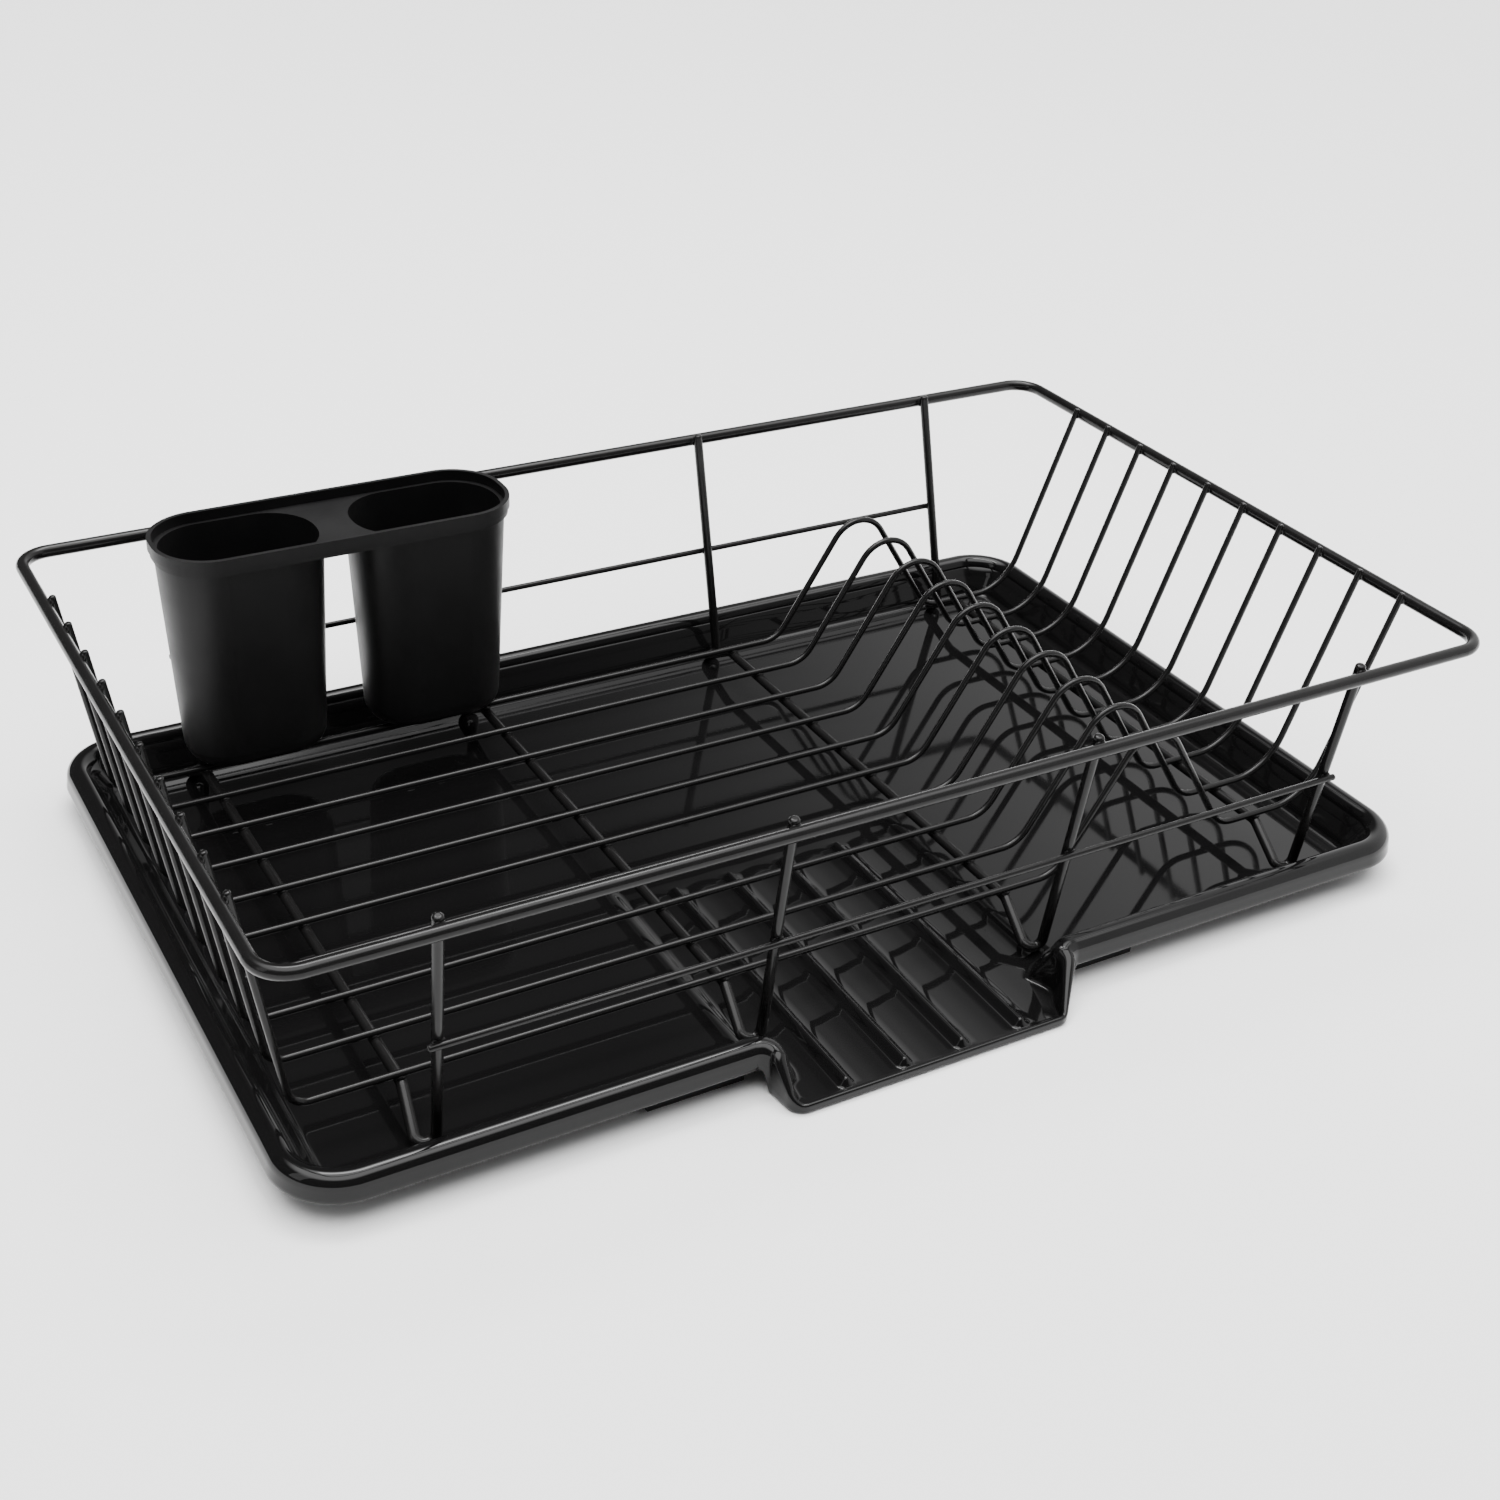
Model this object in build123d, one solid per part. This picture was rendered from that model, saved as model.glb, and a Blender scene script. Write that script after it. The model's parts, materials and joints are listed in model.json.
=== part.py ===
# Dish drying rack: coated wire basket standing in a drip tray with a pouring
# spout, plus a lift-out twin cutlery holder.
# Millimetres.  +X along the rack, +Y to the back, +Z up.
# Origin: on the tray's underside (table plane), under the middle of the top rim.
from build123d import *
import math
import os

os.makedirs("parts", exist_ok=True)

# ---------------------------------------------------------------- dimensions
# wire basket
RIM_HALF_L = 240.0        # rim centre line, half length
RIM_HALF_W = 150.0        # rim centre line, half width
RIM_Z = 103.5             # rim centre line height
RIM_D = 5.0               # rim wire diameter
RIM_CORNER_R = 12.0       # rim centre line corner radius
WIRE_D = 2.7              # lengthwise wire diameter
LEG_D = 4.0               # leg wire diameter
MID_D = 2.5               # side stay wire diameter
WELD = 0.2                # how far welded wires sink into each other
WIRE_COUNT = 10
WIRE_PITCH = 23.6
WIRE_Y0 = -1.3            # middle of the wire row
END_Z = 106.6             # free ends stand a little above the rim
LEFT_FOOT_X = -223.4      # lower end of the left upright run
HUMP_LEFT_X = 78.4        # plate hump, start on the floor line
HUMP_APEX = (118.7, 83.6) # crossing of the two straight flanks
HUMP_RIGHT_X = 159.9      # plate hump, end on the floor line
SWEEP_X = 206.0           # start of the sweep up to the right rim
LEG_X = (-186.0, -65.2, 56.3, 180.5)   # four leg wires
LEG_TOP_DX = (0.0, 0.0, 0.0, -2.8)     # lean of the upright's top
LEG_RUN_Y = 108.0         # where the under-floor run turns down
FOOT_Y = 127.5            # foot loop
FOOT_HALF = 3.6           # half width of the foot loop
STAY_Z = 53.6             # side stay height
STAY_X = (-188.6, 184.4)
BACK_STAY_X = (-188.6, 184.4)
# drip tray
TRAY_CX = -4.0
TRAY_HALF_L = 234.0
TRAY_HALF_W = 149.0
TRAY_CORNER_R = 25.0
TRAY_TOP_Z = 19.0
SKIRT_Z = 9.5             # lower edge of the turned-down skirt
SKIRT_TAPER = 9.0
SKIRT_T = 2.4
RIM_ROLL_R = 4.2          # rounding of the rolled rim, each side
LAND_W = 11.0             # rim land, outside to inside
FLOOR_Z = 3.0
WALL_TAPER = 20.0
TUB_T = 1.5               # tub wall, measured level
# spout and channel
SPOUT_Y = -166.0
SPOUT_X_RIM = (-74.0, 64.5)    # outside of the cheeks at the rim
SPOUT_X_TIP = (-73.5, 53.0)    # outside of the cheeks at the tip
CHEEK_T = 6.0
CHEEK_TIP_Z = 12.0
CHANNEL_Z = 1.9
CHANNEL_BACK_Y = -22.0
RIDGE_X = (-48.5, -24.6, -0.6, 25.0)
RIDGE_BACK_Y = (-34.0, -34.0, -34.0, -34.0)
RIDGE_FRONT_Y = -162.0
RIDGE_R = 2.3
RIDGE_AXIS_Z = 2.5
STEP_X = (-113.0, 92.0)   # deeper base block under the spout
STEP_Y = -141.5
# cutlery holder
HOLDER_CX = -125.3
HOLDER_CY = 111.8
HOLDER_TOP_Z = 116.5
LIP_HALF_L = 72.4
LIP_HALF_W = 24.2
LIP_H = 7.0
LIP_STEP = 0.7
LIP_T = 1.8
BRIDGE_DROP = 4.2
BRIDGE_T = 2.0
CUP_DX = 38.2             # cup centre to holder centre
CUP_HALF_L = 32.6
CUP_HALF_W = 22.6
CUP_SHRINK = 4.2          # inset of the cup at its bottom, per side
CUP_T = 1.8
CUP_BOTTOM_R = 8.0
CUP_CORNER_R = 17.5       # plan corner radius of a cup, at its floor
LIP_CORNER_R = 22.0
DRAIN_D = 5.0


# ------------------------------------------------------------------- helpers
def rounded_path(points, radii):
    """Straight runs joined by arcs; radii has one value per inner corner."""
    pts = [Vector(*p) for p in points]
    edges = []
    start = pts[0]
    for i in range(1, len(pts) - 1):
        a, b, c = pts[i - 1], pts[i], pts[i + 1]
        u = (a - b).normalized()
        v = (c - b).normalized()
        ang = math.acos(max(-1.0, min(1.0, u.dot(v))))
        r = radii[i - 1]
        t = r / math.tan(ang / 2)
        p1 = b + u * t
        p2 = b + v * t
        bis = (u + v).normalized()
        centre = b + bis * (r / math.sin(ang / 2))
        mid = centre - bis * r
        if (p1 - start).length > 1e-4:
            edges.append(Line(start, p1).edge())
        edges.append(ThreePointArc(p1, mid, p2).edge())
        start = p2
    edges.append(Line(start, pts[-1]).edge())
    return Wire(edges)


def rod(path, dia, round_ends=True):
    """Round wire swept along a path, with slightly rounded cut ends."""
    start = path @ 0
    plane = Plane(origin=start, z_dir=path % 0)
    solid = sweep(plane * Circle(dia / 2), path=path, transition=Transition.RIGHT)
    solid = solid.solids()[0]
    if round_ends:
        ends = [path @ 0, path @ 1]
        rims = [e for e in solid.edges()
                if e.geom_type == GeomType.CIRCLE
                and abs(e.radius - dia / 2) < 1e-3
                and min((e.arc_center - p).length for p in ends) < 1e-2]
        if rims:
            solid = fillet(rims, dia * 0.3).solids()[0]
    return solid


def save(shape, name):
    shape.label = name
    export_step(shape, "parts/" + name + ".step")


def plate(half_l, half_w, r, cx, cy, z):
    return Pos(cx, cy, z) * RectangleRounded(2 * half_l, 2 * half_w, r)


# --------------------------------------------------------------- wire basket
rim_path = Pos(0, 0, RIM_Z) * RectangleRounded(
    2 * RIM_HALF_L, 2 * RIM_HALF_W, RIM_CORNER_R).wire()
rim_start = rim_path @ 0.1
rim_plane = Plane(origin=rim_path @ 0.0, z_dir=rim_path % 0.0)
top_rim = sweep(rim_plane * Circle(RIM_D / 2), path=rim_path).solids()[0]
save(top_rim, "top_rim_wire")

weld_x = RIM_HALF_L - RIM_D / 2 - WIRE_D / 2 + WELD    # wire centre beside the rim
floor_z = FLOOR_Z + 0.05 + 2 * LEG_D / 2 + 10.5 + WIRE_D / 2 + 0.3   # lengthwise wire centre
run_z = floor_z - WIRE_D / 2 - LEG_D / 2 + WELD                        # leg wire centre

over = (END_Z - RIM_Z) / (RIM_Z - floor_z)
left_x = -weld_x - (weld_x + LEFT_FOOT_X) * over
right_x = weld_x + (weld_x - SWEEP_X) * over

for n in range(WIRE_COUNT):
    y = WIRE_Y0 + (4.5 - n) * WIRE_PITCH
    path = rounded_path(
        [(left_x, y, END_Z),
         (LEFT_FOOT_X, y, floor_z),
         (HUMP_LEFT_X, y, floor_z),
         (HUMP_APEX[0], y, HUMP_APEX[1]),
         (HUMP_RIGHT_X, y, floor_z),
         (SWEEP_X, y, floor_z),
         (right_x, y, END_Z)],
        [7.5, 13.0, 14.3, 13.5, 24.0])
    save(rod(path, WIRE_D), "lengthwise_wire_%02d" % (n + 1))

foot_z = FLOOR_Z + 0.05 + LEG_D / 2
weld_y = RIM_HALF_W - RIM_D / 2 - LEG_D / 2 + WELD
top_y = weld_y + (weld_y - FOOT_Y) * (END_Z + 0.6 - RIM_Z) / (RIM_Z - foot_z)
for n, x in enumerate(LEG_X):
    xt = x + LEG_TOP_DX[n]
    xi = x - FOOT_HALF
    xo = x + FOOT_HALF
    path = rounded_path(
        [(xt, -top_y, END_Z + 0.6),
         (xo, -FOOT_Y, foot_z),
         (xi, -FOOT_Y, foot_z),
         (x - 0.6, -LEG_RUN_Y, run_z),
         (x - 0.6, LEG_RUN_Y, run_z),
         (xi, FOOT_Y, foot_z),
         (xo, FOOT_Y, foot_z),
         (xt, top_y, END_Z + 0.6)],
        [3.2, 3.2, 7.0, 7.0, 3.2, 3.2])
    save(rod(path, LEG_D), "leg_wire_%d" % (n + 1))

# side stays lie on the outside of the leaning uprights
lean_t = (END_Z + 0.6 - STAY_Z) / (END_Z + 0.6 - foot_z)
upright_y = top_y - (top_y - FOOT_Y) * lean_t
lean = math.atan2(top_y - FOOT_Y, END_Z + 0.6 - foot_z)
gap = LEG_D / 2 + MID_D / 2 - WELD
stay_y = upright_y + gap * math.cos(lean)
stay_z = STAY_Z - gap * math.sin(lean)
for name, s, xs in (("front_mid_wire", -1, STAY_X), ("back_mid_wire", 1, BACK_STAY_X)):
    path = Wire([Line((xs[0], s * stay_y, stay_z), (xs[1], s * stay_y, stay_z)).edge()])
    save(rod(path, MID_D), name)

# ----------------------------------------------------------------- drip tray
def soften(solid, edges, radius):
    """Fillet that leaves the solid as it is where the edges won't take it."""
    try:
        return fillet(edges, radius)
    except Exception:
        print("no fillet", radius, len(edges))
        return solid


out_l, out_w = TRAY_HALF_L, TRAY_HALF_W
skirt = extrude(plate(out_l, out_w, TRAY_CORNER_R, TRAY_CX, 0, SKIRT_Z),
                TRAY_TOP_Z - SKIRT_Z, taper=SKIRT_TAPER)
in_l, in_w = out_l - LAND_W - 5.6, out_w - LAND_W - 5.6
tub = extrude(plate(in_l + TUB_T, in_w + TUB_T, TRAY_CORNER_R - LAND_W - 2 + TUB_T,
                    TRAY_CX, 0, 0), TRAY_TOP_Z - 2.0, taper=-WALL_TAPER)
# hollow under the turned-down rim
hollow = extrude(plate(out_l - SKIRT_T, out_w - SKIRT_T, TRAY_CORNER_R - SKIRT_T,
                       TRAY_CX, 0, SKIRT_Z - 1), TRAY_TOP_Z - SKIRT_Z + 1 - 2.6,
                 taper=SKIRT_TAPER)
tray = skirt - hollow + tub

# inside of the tray
cavity = extrude(plate(in_l, in_w, TRAY_CORNER_R - LAND_W - 2, TRAY_CX, 0, FLOOR_Z),
                 TRAY_TOP_Z - FLOOR_Z + 4, taper=-WALL_TAPER)
foot_edges = [e for e in cavity.edges()
              if e.bounding_box().max.Z < FLOOR_Z + 0.01]
cavity = fillet(foot_edges, 3.0)
tray = tray - cavity
# rolled rim
top_edges = [e for e in tray.edges() if e.bounding_box().min.Z > TRAY_TOP_Z - 0.01]
tray = fillet(top_edges, RIM_ROLL_R)

# channel through the front rim and out over the spout
ci_rim = (SPOUT_X_RIM[0] + CHEEK_T, SPOUT_X_RIM[1] - CHEEK_T)
ci_tip = (SPOUT_X_TIP[0] + CHEEK_T, SPOUT_X_TIP[1] - CHEEK_T)
chan = Polyline((ci_rim[0], CHANNEL_BACK_Y), (ci_rim[0], -146), (ci_tip[0], SPOUT_Y - 6),
                (ci_tip[1], SPOUT_Y - 6), (ci_rim[1], -146), (ci_rim[1], CHANNEL_BACK_Y),
                close=True)
channel = extrude(Pos(0, 0, CHANNEL_Z) * make_face(chan.edges()), 40)
back_corners = [e for e in channel.edges().filter_by(Axis.Z)
                if e.center().Y > CHANNEL_BACK_Y - 1]
channel = fillet(back_corners, 12.0)
tray = tray - channel

# spout: floor and two cheeks that fall towards the tip
tip_block = Polyline((SPOUT_X_RIM[0], -140), (SPOUT_X_RIM[0], -146),
                     (SPOUT_X_TIP[0], SPOUT_Y), (SPOUT_X_TIP[1], SPOUT_Y),
                     (SPOUT_X_RIM[1], -146), (SPOUT_X_RIM[1], -140), close=True)
spout = extrude(make_face(tip_block.edges()), TRAY_TOP_Z - 1.5)
front_corners = [e for e in spout.edges().filter_by(Axis.Z)
                 if e.center().Y < SPOUT_Y + 1]
spout = fillet(front_corners, 7.0)
fall = Polyline((-150.0, TRAY_TOP_Z + 4), (-150.0, TRAY_TOP_Z - 1.5),
                (SPOUT_Y + 5, CHEEK_TIP_Z), (SPOUT_Y - 1, CHEEK_TIP_Z - 6),
                (SPOUT_Y - 4, CHEEK_TIP_Z - 6), (SPOUT_Y - 4, TRAY_TOP_Z + 4), close=True)
spout = spout - extrude(make_face((Plane.YZ * fall).edges()), 200, both=True)
spout = spout - channel
ridge_tops = [e for e in spout.edges()
              if e.center().Z > CHEEK_TIP_Z - 5.5 and abs(e.tangent_at(0.5).X) < 0.9
              and abs(e.tangent_at(0.5).Z) < 0.9 and e.center().Y < -142]
spout = soften(spout, ridge_tops, 2.2)
step = extrude(Pos((STEP_X[0] + STEP_X[1]) / 2, (STEP_Y - 120) / 2, 0) *
               Rectangle(STEP_X[1] - STEP_X[0], -STEP_Y - 120), CHANNEL_Z, taper=4)
step = step + extrude(Pos((STEP_X[0] + SPOUT_X_RIM[0]) / 2 + 3, (STEP_Y - 128) / 2, 0) *
                      Rectangle(SPOUT_X_RIM[0] - STEP_X[0] - 4, -STEP_Y - 128), 10.0)
step = step + extrude(Pos((STEP_X[1] + SPOUT_X_RIM[1]) / 2 - 3, (STEP_Y - 128) / 2, 0) *
                      Rectangle(STEP_X[1] - SPOUT_X_RIM[1] - 4, -STEP_Y - 128), 10.0)
step = step - cavity
tray = tray + spout + step

# drainage ridges in the channel
for x, yb in zip(RIDGE_X, RIDGE_BACK_Y):
    tray = tray + Pos(x, (yb + RIDGE_FRONT_Y) / 2, RIDGE_AXIS_Z) * Rot(90, 0, 0) * \
        Cylinder(RIDGE_R, yb - RIDGE_FRONT_Y)
    for y in (yb, RIDGE_FRONT_Y):
        tray = tray + Pos(x, y, RIDGE_AXIS_Z) * Sphere(RIDGE_R)
print("tray solids", len(tray.solids()), [round(q.volume) for q in tray.solids()])
save(tray.solids().sort_by(lambda q: q.volume)[-1], "drain_tray")

# ------------------------------------------------------------ cutlery holder
lip_r = LIP_CORNER_R
lip = extrude(plate(LIP_HALF_L, LIP_HALF_W, lip_r - 0.01, HOLDER_CX, HOLDER_CY,
                    HOLDER_TOP_Z - LIP_H), LIP_H)
band = extrude(plate(LIP_HALF_L - LIP_STEP, LIP_HALF_W - LIP_STEP, lip_r - LIP_STEP - 0.01,
                     HOLDER_CX, HOLDER_CY, HOLDER_TOP_Z - LIP_H), 2.6)
ring_cut = extrude(plate(LIP_HALF_L + 2, LIP_HALF_W + 2, lip_r, HOLDER_CX, HOLDER_CY,
                         HOLDER_TOP_Z - LIP_H), 2.6)
lip = lip - (ring_cut - band)
inner_top = extrude(plate(LIP_HALF_L - LIP_T, LIP_HALF_W - LIP_T, lip_r - LIP_T - 0.01,
                          HOLDER_CX, HOLDER_CY, HOLDER_TOP_Z - BRIDGE_DROP), BRIDGE_DROP + 1)
lip_body = lip - inner_top
under = extrude(plate(LIP_HALF_L - LIP_T - LIP_STEP, LIP_HALF_W - LIP_T - LIP_STEP,
                      lip_r - LIP_T - LIP_STEP - 0.01, HOLDER_CX, HOLDER_CY,
                      HOLDER_TOP_Z - LIP_H - 1), LIP_H + 1 - BRIDGE_DROP - BRIDGE_T)
lip_body = lip_body - under
holder = lip_body
cup_top = HOLDER_TOP_Z - BRIDGE_DROP
cup_bottom = floor_z + WIRE_D / 2 + 0.05
cup_h = cup_top - cup_bottom
cup_taper = math.degrees(math.atan2(CUP_SHRINK, cup_h))


def cup_solid(cx, inset, z0, z1, bottom_r):
    shrink = CUP_SHRINK * (cup_top - z0) / cup_h
    half_l = CUP_HALF_L - inset - shrink
    half_w = CUP_HALF_W - inset - shrink
    body = extrude(plate(half_l, half_w, CUP_CORNER_R - inset, cx, HOLDER_CY, z0), z1 - z0,
                   taper=-cup_taper)
    low = [e for e in body.edges() if abs(e.center().Z - z0) < 0.01
           and e.bounding_box().max.Z - e.bounding_box().min.Z < 0.01]
    return fillet(low, bottom_r)


for s in (-1, 1):
    cx = HOLDER_CX + s * CUP_DX
    holder = holder + cup_solid(cx, 0.0, cup_bottom, cup_top, CUP_BOTTOM_R)
for s in (-1, 1):
    cx = HOLDER_CX + s * CUP_DX
    holder = holder - cup_solid(cx, CUP_T, cup_bottom + CUP_T, HOLDER_TOP_Z + 2,
                                CUP_BOTTOM_R - CUP_T)
    for ix, iy in ((-14, -6), (0, -6), (14, -6), (-14, 6), (0, 6), (14, 6)):
        holder = holder - Pos(cx + ix, HOLDER_CY + iy, cup_bottom) * Cylinder(DRAIN_D / 2, 8)
save(holder.solids()[0], "cutlery_holder")
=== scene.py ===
import bpy
import json
import math
from mathutils import Matrix, Vector

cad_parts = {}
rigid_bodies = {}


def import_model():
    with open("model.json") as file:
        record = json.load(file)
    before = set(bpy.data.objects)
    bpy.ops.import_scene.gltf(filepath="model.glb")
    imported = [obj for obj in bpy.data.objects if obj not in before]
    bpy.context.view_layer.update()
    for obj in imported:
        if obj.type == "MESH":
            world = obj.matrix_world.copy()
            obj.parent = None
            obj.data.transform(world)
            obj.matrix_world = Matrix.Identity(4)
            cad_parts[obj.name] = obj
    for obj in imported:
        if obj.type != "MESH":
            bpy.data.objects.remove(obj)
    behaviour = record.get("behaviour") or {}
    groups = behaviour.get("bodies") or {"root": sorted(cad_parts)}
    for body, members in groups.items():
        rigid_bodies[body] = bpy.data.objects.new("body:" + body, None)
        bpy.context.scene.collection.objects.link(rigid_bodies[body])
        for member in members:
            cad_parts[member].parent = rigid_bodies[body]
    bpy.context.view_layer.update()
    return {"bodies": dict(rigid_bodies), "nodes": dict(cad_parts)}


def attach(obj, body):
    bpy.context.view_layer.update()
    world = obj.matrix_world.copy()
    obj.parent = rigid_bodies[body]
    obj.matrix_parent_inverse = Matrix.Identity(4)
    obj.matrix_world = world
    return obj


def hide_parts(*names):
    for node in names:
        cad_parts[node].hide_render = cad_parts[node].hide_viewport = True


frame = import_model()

bodies, nodes = frame["bodies"], frame["nodes"]

# ------------------------------------------------------------------ materials
def new_material(name):
    m = bpy.data.materials.new(name)
    m.use_nodes = True
    return m, m.node_tree.nodes, m.node_tree.links, m.node_tree.nodes["Principled BSDF"]


def noise_bump(nt, links, bsdf, scale, strength, distance, detail=2.0):
    co = nt.new("ShaderNodeTexCoord")
    n = nt.new("ShaderNodeTexNoise")
    n.inputs["Scale"].default_value = scale
    n.inputs["Detail"].default_value = detail
    b = nt.new("ShaderNodeBump")
    b.inputs["Strength"].default_value = strength
    b.inputs["Distance"].default_value = distance
    links.new(co.outputs["Object"], n.inputs["Vector"])
    links.new(n.outputs["Fac"], b.inputs["Height"])
    links.new(b.outputs["Normal"], bsdf.inputs["Normal"])
    return co, n, b


def rough_noise(nt, links, bsdf, co, scale, low, high):
    n = nt.new("ShaderNodeTexNoise")
    n.inputs["Scale"].default_value = scale
    n.inputs["Detail"].default_value = 3.0
    r = nt.new("ShaderNodeMapRange")
    r.inputs["From Min"].default_value = 0.35
    r.inputs["From Max"].default_value = 0.65
    r.inputs["To Min"].default_value = low
    r.inputs["To Max"].default_value = high
    links.new(co.outputs["Object"], n.inputs["Vector"])
    links.new(n.outputs["Fac"], r.inputs["Value"])
    links.new(r.outputs["Result"], bsdf.inputs["Roughness"])


wire_mat, nt, ln, b = new_material("coated_wire_gloss_black")
b.inputs["Base Color"].default_value = (0.0060, 0.0058, 0.0058, 1)
b.inputs["Specular IOR Level"].default_value = 0.21
b.inputs["IOR"].default_value = 1.5
co, n, bump = noise_bump(nt, ln, b, 260.0, 0.10, 0.0002, 2.0)
rough_noise(nt, ln, b, co, 90.0, 0.17, 0.25)

tray_mat, nt, ln, b = new_material("tray_gloss_black")
b.inputs["Base Color"].default_value = (0.0040, 0.0039, 0.0040, 1)
b.inputs["Specular IOR Level"].default_value = 0.24
b.inputs["IOR"].default_value = 1.5
co, n, bump = noise_bump(nt, ln, b, 9.0, 0.10, 0.0012, 1.0)
rough_noise(nt, ln, b, co, 30.0, 0.035, 0.065)

holder_mat, nt, ln, b = new_material("holder_satin_black")
b.inputs["Base Color"].default_value = (0.0050, 0.0049, 0.0051, 1)
b.inputs["Specular IOR Level"].default_value = 0.22
b.inputs["IOR"].default_value = 1.5
co, n, bump = noise_bump(nt, ln, b, 1400.0, 0.22, 0.00012, 2.0)
rough_noise(nt, ln, b, co, 60.0, 0.40, 0.48)

for name, obj in nodes.items():
    mat = tray_mat if name == "drain_tray" else holder_mat if name == "cutlery_holder" else wire_mat
    for s in obj.material_slots:
        s.material = mat

# ------------------------------------------------------------------ drip tray
def smooth01(t):
    t = max(0.0, min(1.0, t))
    return t * t * (3 - 2 * t)


RIDGES = (-46.3, -22.4, 1.6, 27.0)
RIDGE_Y = (-160.2, -34.0)


def floor_height(x, y):
    """Height of the tray's floor in mm, with its channel and ridges."""
    left = smooth01((x + 70.0) / 5.0)
    right = smooth01((58.5 - x) / 5.0)
    back = smooth01((-19.0 - y) / 9.0)
    z = 3.0 - 1.1 * left * right * back
    bump, near = 0.0, 99.0
    for rx in RIDGES:
        dy = max(0.0, 1.6 * (RIDGE_Y[0] - y), y - RIDGE_Y[1])
        r = math.hypot(x - rx, dy)
        near = min(near, abs(x - rx))
        if r < 3.7:
            bump = max(bump, 2.9 * math.cos(math.pi * r / 7.4) ** 2)
    hollow = 0.30 * math.sin(math.pi * min(near, 12.5) / 25.0) ** 2 * left * right * back
    return z + bump - hollow * smooth01((-26.0 - y) / 12.0)


def contour():
    """Outline of the tray, anticlockwise, as (point, inward normal) in mm."""
    corners = [(-238.0, -149.0, 25.0, 20), (-71.5, -149.0, 4.0, 10), (-69.5, -166.0, 6.5, 16),
               (43.5, -166.0, 6.0, 16), (59.0, -149.0, 4.0, 10), (230.0, -149.0, 25.0, 20),
               (230.0, 149.0, 25.0, 20), (-238.0, 149.0, 25.0, 20)]
    out = []
    count = len(corners)
    ends = []
    for i in range(count):
        a = Vector(corners[i - 1][:2])
        b = Vector(corners[i][:2])
        c = Vector(corners[(i + 1) % count][:2])
        u, v = (a - b).normalized(), (c - b).normalized()
        ang = math.acos(max(-1, min(1, u.dot(v))))
        r = corners[i][2]
        t = r / math.tan(ang / 2)
        centre = b + (u + v).normalized() * (r / math.sin(ang / 2))
        ends.append((b + u * t, b + v * t, centre, r, corners[i][3]))
    for i in range(count):
        p1, p2, centre, r, steps = ends[i]
        v1, v2 = p1 - centre, p2 - centre
        total = v1.angle_signed(v2, 0.0) * -1.0
        inward = 1.0 if total > 0 else -1.0
        for k in range(steps + 1):
            a = total * k / steps
            d = Vector((v1.x * math.cos(a) - v1.y * math.sin(a),
                        v1.x * math.sin(a) + v1.y * math.cos(a)))
            out.append((centre + d, d.normalized() * -inward))
        q = ends[(i + 1) % count][0]
        run = (q - p2).length
        n_in = Vector((-(q - p2).y, (q - p2).x)).normalized()
        pieces = max(1, int(run / (0.8 if run < 20 else 9.0)))
        for k in range(1, pieces):
            out.append((p2 + (q - p2) * (k / pieces), n_in))
    return out


def tray_profile(p):
    """Section at a point of the outline: outer and inner rows as (inset, height)."""
    spout = -76.0 < p.x < 64.0 and p.y < -148.99
    u = max(0.0, -149.0 - p.y) if spout else 0.0
    e = smooth01(u / 3.0)
    t = max(0.0, min(1.0, (u - 0.2) / 16.2))
    slope = 0.75 * t + 0.25 * smooth01(t)
    top = 19.0 - 15.4 * slope
    low = 9.5 * (1 - smooth01(u / 2.2))
    roll = 4.7 - 3.7 * (0.45 * smooth01(u / 5.0) + 0.55 * slope)
    lean = 0.13 * (1 - e)
    run = 6.4 - 4.6 * smooth01(u / 6.0) - 1.4 * smooth01((u - 10.2) / 6.2)
    foot = 3.2 - 1.4 * smooth01(u / 6.0) - 1.2 * smooth01((u - 10.2) / 6.2)
    rows = [(2.5, low + 0.5), (1.6, low + 0.05), (0.8, low), (0.25, low + 0.25), (0.02, low + 0.9)]
    x0 = lean * (top - roll - low)
    for k in range(1, 4):
        rows.append((0.02 + (x0 - 0.02) * k / 4, low + 0.9 + (top - roll - low - 0.9) * k / 4))
    for k in range(0, 15):
        th = math.pi * k / 14
        rows.append((x0 + roll - roll * math.cos(th), top - roll + roll * math.sin(th)))
    return rows, x0 + 2 * roll, top, low, run, foot, e


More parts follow.
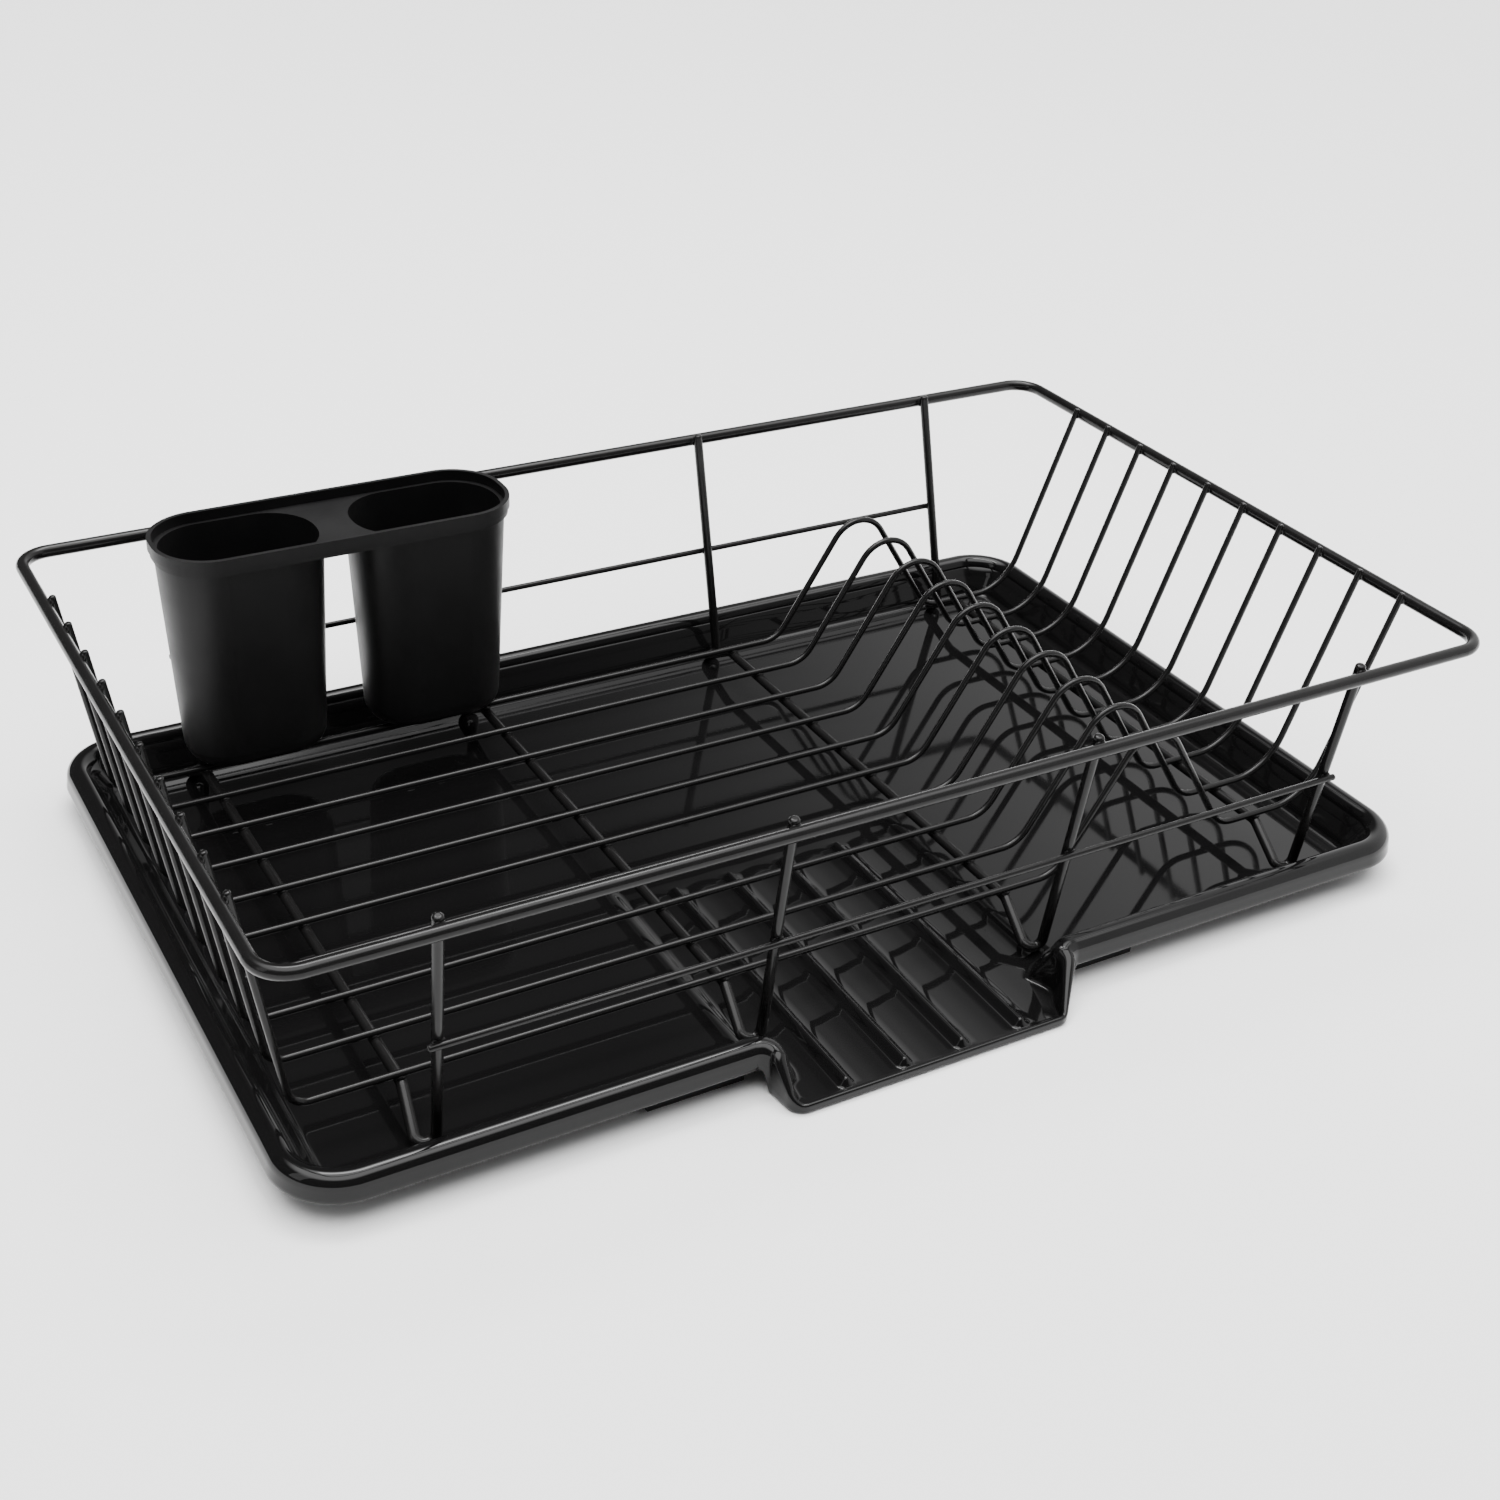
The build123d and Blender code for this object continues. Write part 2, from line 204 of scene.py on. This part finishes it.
def build_tray():
    ring = contour()
    n = len(ring)
    verts, faces, flat = [], [], []
    loops = None
    for p, nrm in ring:
        rows, d, top, low, run, foot, e = tray_profile(p)
        u = max(0.0, -149.0 - p.y)
        q = p + nrm * (d + run + foot)
        fz = floor_height(q.x, q.y)
        z1 = rows[-1][1]
        z2 = min(fz + foot * 0.8, z1 - 0.05)
        col = list(rows)
        for k in range(1, 5):
            col.append((d + run * k / 4.0, z1 + (z2 - z1) * k / 4.0))
        for k in range(1, 7):
            a = math.pi / 2 * k / 6
            col.append((d + run + foot * (1 - math.cos(a)) * 1.0,
                        z2 + (fz - z2) * math.sin(a)))
        for extra in (0.8 - 0.5 * smooth01(u / 12.0), 2.4 - 1.7 * smooth01(u / 12.0)):
            q2 = p + nrm * (d + run + foot + extra)
            col.append((d + run + foot + extra, floor_height(q2.x, q2.y)))
        # underside, from the skirt's inner edge up, over and down to the base
        rim_under = [(2.7, low + 1.6), (3.0, top - 4.5), (4.4, top - 2.9), (8.0, top - 3.0),
                     (10.6, top - 4.6), (12.4, 11.0), (16.6, 1.4), (17.6, 0.35), (18.6, 0.0)]
        tip_under = [(2.7, 0.3), (3.0, 0.2), (3.3, 0.1), (3.6, 0.05), (3.9, 0.0), (4.2, 0.0),
                     (4.5, 0.0), (4.8, 0.0), (5.1, 0.0)]
        under = [(a[0] * (1 - e) + b[0] * e, a[1] * (1 - e) + b[1] * e)
                 for a, b in zip(rim_under, tip_under)]
        full = list(reversed(under)) + col
        if loops is None:
            loops = [[] for _ in full]
        for i, (dd, z) in enumerate(full):
            w = p + nrm * dd
            loops[i].append(len(verts))
            verts.append((w.x * 0.001, w.y * 0.001, z * 0.001))
    for a, b in zip(loops[:-1], loops[1:]):
        for i in range(n):
            k = (i + 1) % n
            faces.append((a[i], a[k], b[k], b[i]))
    base_face = len(faces)
    faces.append(tuple(reversed(loops[0])))
    # floor: constrained triangulation of the inner loop and graded grid points
    from mathutils.geometry import delaunay_2d_cdt
    inner = loops[-1]
    rim2d = [Vector((verts[i][0] * 1000, verts[i][1] * 1000)) for i in inner]

    def inside(x, y):
        hit = False
        j = n - 1
        for i in range(n):
            a, b = rim2d[i], rim2d[j]
            if (a.y > y) != (b.y > y) and x < (b.x - a.x) * (y - a.y) / (b.y - a.y) + a.x:
                hit = not hit
            j = i
        return hit

    def near_edge(x, y, gap):
        for a in rim2d:
            if abs(a.x - x) < gap and abs(a.y - y) < (0.45 if y < -150.0 else gap):
                return True
        return False

    offs = (-3.7, -3.1, -2.5, -1.9, -1.3, -0.65, 0.0, 0.65, 1.3, 1.9, 2.5, 3.1, 3.7)
    xs = sorted({round(r + o, 3) for r in RIDGES for o in offs}
                | {round(r + 3.7 + o, 3) for r in RIDGES for o in (2.8, 5.6, 8.4, 11.2, 14.0)}
                | {-71.0, -69.5, -68.5, -67.5, -66.5, -65.5, -64.5, -62.0, -59.0, -56.0, -54.0}
                | {46.0, 49.0, 52.0, 54.5, 55.5, 56.5, 57.5, 58.5, 59.5, 61.0})
    clean = []
    for x in xs:
        if not clean or x - clean[-1] > 0.45:
            clean.append(x)
    xs = clean
    ys = sorted({round(-30.3 - 0.6 * k, 3) for k in range(8)}
                | {-18.5, -20.0, -21.5, -23.0, -24.5, -26.0, -27.5, -29.0}
                | {round(-162.6 + 0.5 * k, 3) for k in range(9)}
                | {-38.0 - 4.1 * k for k in range(30)})
    pts = [(x, y) for x in xs for y in ys]
    pts += [(x, y) for x in [-215 + 10 * k for k in range(44)]
            for y in [-132 + 10 * k for k in range(28)]
            if not (-73 < x < 63 and y < -16)]
    pts = [q for q in pts if inside(*q) and not near_edge(q[0], q[1], 1.1)]
    coords = rim2d + [Vector(q) for q in pts]
    edges = [(i, (i + 1) % n) for i in range(n)]
    out = delaunay_2d_cdt(coords, edges, [], 1, 1e-5)
    v2, _, tris, orig = out[0], out[1], out[2], out[3]
    index = []
    for i, v in enumerate(v2):
        src = [o for o in orig[i] if o < n]
        if src:
            index.append(inner[src[0]])
        else:
            index.append(len(verts))
            verts.append((v.x * 0.001, v.y * 0.001, floor_height(v.x, v.y) * 0.001))
    for t in tris:
        a, b, c = (v2[k] for k in t)
        mx, my = (a.x + b.x + c.x) / 3, (a.y + b.y + c.y) / 3
        if not inside(mx, my):
            continue
        area2 = (b.x - a.x) * (c.y - a.y) - (c.x - a.x) * (b.y - a.y)
        f = tuple(index[k] for k in t)
        faces.append(f if area2 > 0 else tuple(reversed(f)))
    smooth_flags = [True] * len(faces)
    smooth_flags[base_face] = False
    # base steps beside the spout
    for lo, hi in (((-113.0, -141.5, 0.0), (-76.0, -136.6, 8.4)), ((64.0, -141.5, 0.0), (92.0, -136.6, 8.4)),
                   ((-112.5, -137.0, 0.0), (-76.5, -129.0, 1.3)), ((64.5, -137.0, 0.0), (91.5, -129.0, 1.3))):
        c = 0.6
        base = len(verts)
        for z, g in ((lo[2], c), (lo[2] + c, 0.0), (hi[2], 0.0)):
            for x, y in ((lo[0] + g, lo[1] + g), (hi[0] - g, lo[1] + g), (hi[0] - g, hi[1]), (lo[0] + g, hi[1])):
                verts.append((x * 0.001, y * 0.001, z * 0.001))
        for r in range(2):
            for k in range(4):
                m = (k + 1) % 4
                faces.append((base + 4 * r + k, base + 4 * r + m, base + 4 * r + 4 + m, base + 4 * r + 4 + k))
                smooth_flags.append(False)
        faces.append((base + 3, base + 2, base + 1, base))
        smooth_flags.append(False)
        faces.append((base + 8, base + 9, base + 10, base + 11))
        smooth_flags.append(False)
    me = bpy.data.meshes.new("drip_tray_shell")
    me.from_pydata(verts, [], faces)
    me.update()
    me.polygons.foreach_set("use_smooth", smooth_flags)
    me.materials.append(tray_mat)
    o = bpy.data.objects.new("drip_tray_shell", me)
    bpy.context.scene.collection.objects.link(o)
    return o


tray_shell = build_tray()
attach(tray_shell, "tray")
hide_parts("drain_tray")

# --------------------------------------------------------------- weld details
def beads(name, spots, mat):
    """Small flattened drops of coating where wires are welded."""
    verts, faces = [], []
    nu, nv = 16, 8
    for centre, axes in spots:
        base = len(verts)
        ax, ay, az = axes
        verts.append(centre + az)
        for j in range(1, nv):
            th = math.pi * j / nv
            for i in range(nu):
                ph = 2 * math.pi * i / nu
                verts.append(centre + ax * (math.sin(th) * math.cos(ph))
                             + ay * (math.sin(th) * math.sin(ph)) + az * math.cos(th))
        verts.append(centre - az)
        last = len(verts) - 1
        for i in range(nu):
            k = (i + 1) % nu
            faces.append((base, base + 1 + i, base + 1 + k))
            for j in range(nv - 2):
                a = base + 1 + j * nu
                faces.append((a + i, a + nu + i, a + nu + k, a + k))
            a = base + 1 + (nv - 2) * nu
            faces.append((a + i, last, a + k))
    me = bpy.data.meshes.new(name)
    me.from_pydata([tuple(v) for v in verts], [], faces)
    me.update()
    me.polygons.foreach_set("use_smooth", [True] * len(me.polygons))
    me.materials.append(mat)
    o = bpy.data.objects.new(name, me)
    bpy.context.scene.collection.objects.link(o)
    return o


X, Y, Z = Vector((1, 0, 0)), Vector((0, 1, 0)), Vector((0, 0, 1))
mm = 0.001
wire_y = [(-1.3 + (4.5 - n) * 23.6) * mm for n in range(10)]
leg_x = [(x - 0.6) * mm for x in (-186.0, -65.2, 56.3, 180.5)]
touch_z = 17.8 * mm
spots = []
for x in leg_x:
    for y in wire_y:
        spots.append((Vector((x, y, touch_z)), (X * 2.3 * mm, Y * 1.75 * mm, Z * 1.3 * mm)))
for y in wire_y:
    spots.append((Vector((-237.5 * mm, y, 103.9 * mm)), (X * 1.2 * mm, Y * 1.9 * mm, Z * 2.2 * mm)))
    spots.append((Vector((237.5 * mm, y, 103.9 * mm)), (X * 1.2 * mm, Y * 1.9 * mm, Z * 2.2 * mm)))
for x in (-186.0, -65.2, 56.3, 177.8):
    for s in (-1, 1):
        spots.append((Vector((x * mm, s * 147.6 * mm, 103.7 * mm)),
                      (X * 2.5 * mm, Y * 1.1 * mm, Z * 2.3 * mm)))
for x, dx in ((-186.0, 1.9), (-65.2, 1.9), (56.3, 1.9), (177.8, 3.4)):
    for s in (-1, 1):
        spots.append((Vector(((x + dx) * mm, s * 137.9 * mm, 53.3 * mm)),
                      (X * 2.4 * mm, Y * 1.0 * mm, Z * 1.7 * mm)))
weld = beads("weld_beads", spots, wire_mat)
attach(weld, "rack")

# ---------------------------------------------------------------------- stage
floor_mat, nt, ln, b = new_material("floor_white")
b.inputs["Base Color"].default_value = (0.97, 0.97, 0.97, 1)
b.inputs["Roughness"].default_value = 0.9
b.inputs["Specular IOR Level"].default_value = 0.1
bpy.ops.mesh.primitive_plane_add(size=80, location=(0, 0, -0.0004))
floor = bpy.context.object
floor.name = "studio_floor"
floor.data.materials.append(floor_mat)

world = bpy.data.worlds.new("studio")
bpy.context.scene.world = world
world.use_nodes = True
wt = world.node_tree
bg = wt.nodes["Background"]
bg.inputs["Color"].default_value = (1, 1, 1, 1)
# bright overhead softbox, dimmer low sky, a lighter side on the right
sky = wt.nodes.new("ShaderNodeTexCoord")
split = wt.nodes.new("ShaderNodeSeparateXYZ")
top = wt.nodes.new("ShaderNodeMapRange")
top.interpolation_type = "SMOOTHSTEP"
top.inputs["From Min"].default_value = 0.74
top.inputs["From Max"].default_value = 0.90
top.inputs["To Min"].default_value = 0.13
top.inputs["To Max"].default_value = 6.5
side = wt.nodes.new("ShaderNodeMapRange")
side.interpolation_type = "SMOOTHSTEP"
side.inputs["From Min"].default_value = 0.34
side.inputs["From Max"].default_value = 0.68
side.inputs["To Min"].default_value = 0.0
side.inputs["To Max"].default_value = 1.5
add = wt.nodes.new("ShaderNodeMath")
add.operation = "ADD"
wt.links.new(sky.outputs["Generated"], split.inputs["Vector"])
wt.links.new(split.outputs["Z"], top.inputs["Value"])
wt.links.new(split.outputs["X"], side.inputs["Value"])
wt.links.new(top.outputs["Result"], add.inputs[0])
wt.links.new(side.outputs["Result"], add.inputs[1])
wt.links.new(add.outputs["Value"], bg.inputs["Strength"])


def area(name, loc, target, sx, sy, power, colour=(1, 1, 1)):
    d = bpy.data.lights.new(name, "AREA")
    d.shape = "RECTANGLE"
    d.size, d.size_y = sx, sy
    d.energy = power
    d.color = colour
    o = bpy.data.objects.new(name, d)
    bpy.context.scene.collection.objects.link(o)
    o.location = loc
    o.rotation_mode = "QUATERNION"
    o.rotation_quaternion = (Vector(target) - Vector(loc)).to_track_quat("-Z", "Y")
    return o


area("key_top", (0.15, 0.35, 1.5), (0, 0, 0), 0.9, 0.35, 16)
area("fill_left", (-1.5, -0.2, 0.9), (0, 0, 0.05), 0.5, 1.2, 3.5)

# --------------------------------------------------------------------- camera
cam_data = bpy.data.cameras.new("camera")
cam = bpy.data.objects.new("camera", cam_data)
bpy.context.scene.collection.objects.link(cam)
bpy.context.scene.camera = cam
cam_data.sensor_width = 36.0
cam_data.lens = 49.6648
cam_data.shift_x = -0.00436
cam_data.shift_y = 0.00113
cam_data.clip_start = 0.02
cam_data.clip_end = 120
cam.matrix_world = Matrix((
    (0.8691785773469697, 0.21912717624249478, -0.4432966064759445, -0.3621698824580432),
    (-0.4924388574980219, 0.46528640520087494, -0.7355355414670932, -0.6134482964432846),
    (0.04508405823726061, 0.8576082099462654, 0.5123237120470039, 0.46105022083239355),
    (0, 0, 0, 1)))

bpy.context.view_layer.update()
